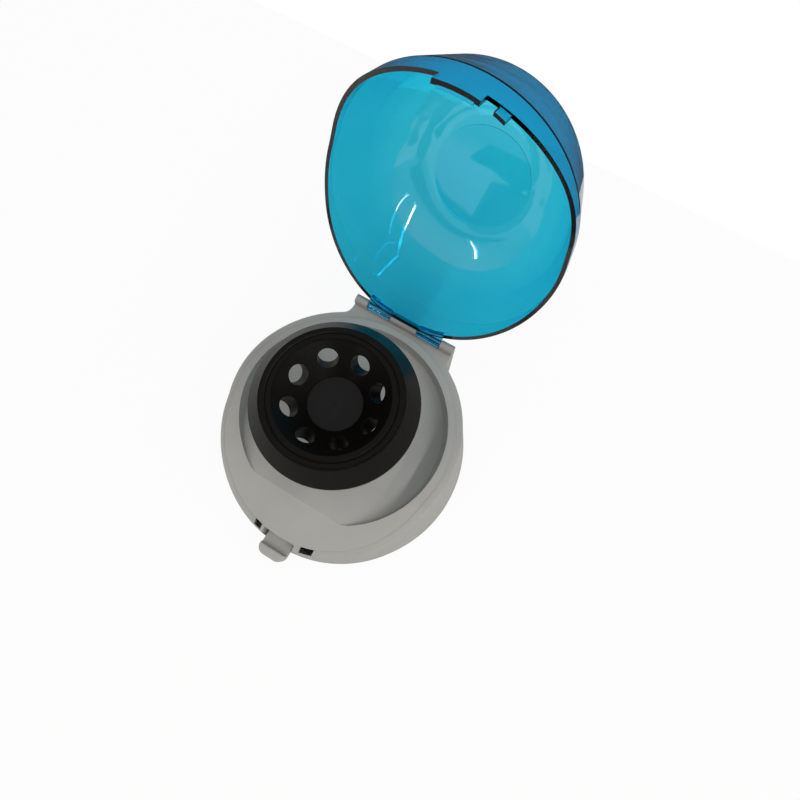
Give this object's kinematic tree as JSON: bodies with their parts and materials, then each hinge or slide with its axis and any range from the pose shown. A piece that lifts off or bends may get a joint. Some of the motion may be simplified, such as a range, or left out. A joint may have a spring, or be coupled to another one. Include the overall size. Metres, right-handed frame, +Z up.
{
  "type": "mini centrifuge",
  "caption": "Bench-top mini centrifuge with a see-through domed lid, a tube rotor, a drafted round casing and a press-in lid release.",
  "frame": {"origin": "on the rotor's axis, at the bench under the feet", "axes": "+Z up along the rotor's axis, +Y towards the lid hinge and the power inlet, +X to the right seen from the release tab"},
  "size_m": [0.1556, 0.2685, 0.199],
  "materials": {
    "casing_grey": "fine moulded texture",
    "lid_blue": "polished, see-through blue",
    "rotor_black": "satin black",
    "cap_black": "fine texture",
    "collet_brass": "turned",
    "foot_rubber": "matte",
    "damper_rubber": "matte",
    "screw_steel": "zinc plated",
    "pin_steel": "ground",
    "can_steel": "zinc plated",
    "bearing_steel": "ground",
    "shaft_steel": "ground",
    "stack_steel": "stamped sheets",
    "magnet_ferrite": "sintered",
    "winding_copper": "enamelled wire",
    "commutator_copper": "turned copper",
    "brush_carbon": "pressed carbon",
    "terminal_brass": "stamped",
    "pin_brass": "nickel plated",
    "end_cap_plastic": "moulded",
    "board_green": "solder mask",
    "capacitor_sleeve": "shrink sleeve",
    "chip_black": "moulded",
    "header_white": "moulded",
    "inlet_black": "moulded",
    "switch_black": "moulded",
    "switch_lever": "stamped",
    "spring_steel": "drawn wire",
    "keeper_grey": "moulded",
    "lead_red": "insulation",
    "lead_black": "insulation",
    "lead_white": "insulation"
  },
  "bodies": {
    "casing": {"base_tray": "casing_grey", "top_cover": "casing_grey", "rubber_feet": "foot_rubber", "casing_screws": "screw_steel", "hinge_pin": "pin_steel", "motor_can": "can_steel", "motor_end_cap": "end_cap_plastic", "motor_bearings": "bearing_steel", "motor_magnets": "magnet_ferrite", "motor_brushes": "brush_carbon", "motor_terminals": "terminal_brass", "motor_screws": "screw_steel", "motor_damper": "damper_rubber", "control_board": "board_green", "board_capacitors": "capacitor_sleeve", "board_chips": "chip_black", "board_connectors": "header_white", "board_screws": "screw_steel", "power_inlet": "inlet_black", "power_inlet_pin": "pin_brass", "switch_board": "board_green", "switch_screw": "screw_steel", "lid_switch": "switch_black", "tab_spring": "spring_steel", "tab_keeper": "keeper_grey", "keeper_screws": "screw_steel", "motor_lead_red": "lead_red", "motor_lead_black": "lead_black", "switch_leads": "lead_white", "inlet_lead_red": "lead_red", "inlet_lead_black": "lead_black"},
    "lid": {"lid": "lid_blue"},
    "rotor": {"rotor": "rotor_black", "rotor_cap": "cap_black", "rotor_collet": "collet_brass", "motor_shaft": "shaft_steel", "motor_armature": "stack_steel", "motor_windings": "winding_copper", "motor_commutator": "commutator_copper"},
    "release_tab": {"release_tab": "casing_grey"},
    "switch_plunger": {"lid_switch_plunger": "switch_lever"}
  },
  "joints": [
    {"name": "lid_hinge", "type": "hinge", "parent": "casing", "child": "lid", "pos_m": [0, 0.0713, 0.0491], "axis": [1, 0, 0], "range_deg": [0, 115]},
    {"name": "rotor_spin", "type": "hinge", "parent": "casing", "child": "rotor", "pos_m": [0, 0, 0.09], "axis": [0, 0, 1], "continuous": true},
    {"name": "tab_press", "type": "slide", "parent": "casing", "child": "release_tab", "axis": [0, 1, 0], "range_m": [0, 0.002], "stiffness_N_per_m": 500, "springref_m": -0.003, "deforming": ["tab_spring"]},
    {"name": "switch_press", "type": "slide", "parent": "casing", "child": "switch_plunger", "axis": [0, 0, -1], "range_m": [0, 0.0008], "stiffness_N_per_m": 400, "springref_m": -0.0008}
  ]
}
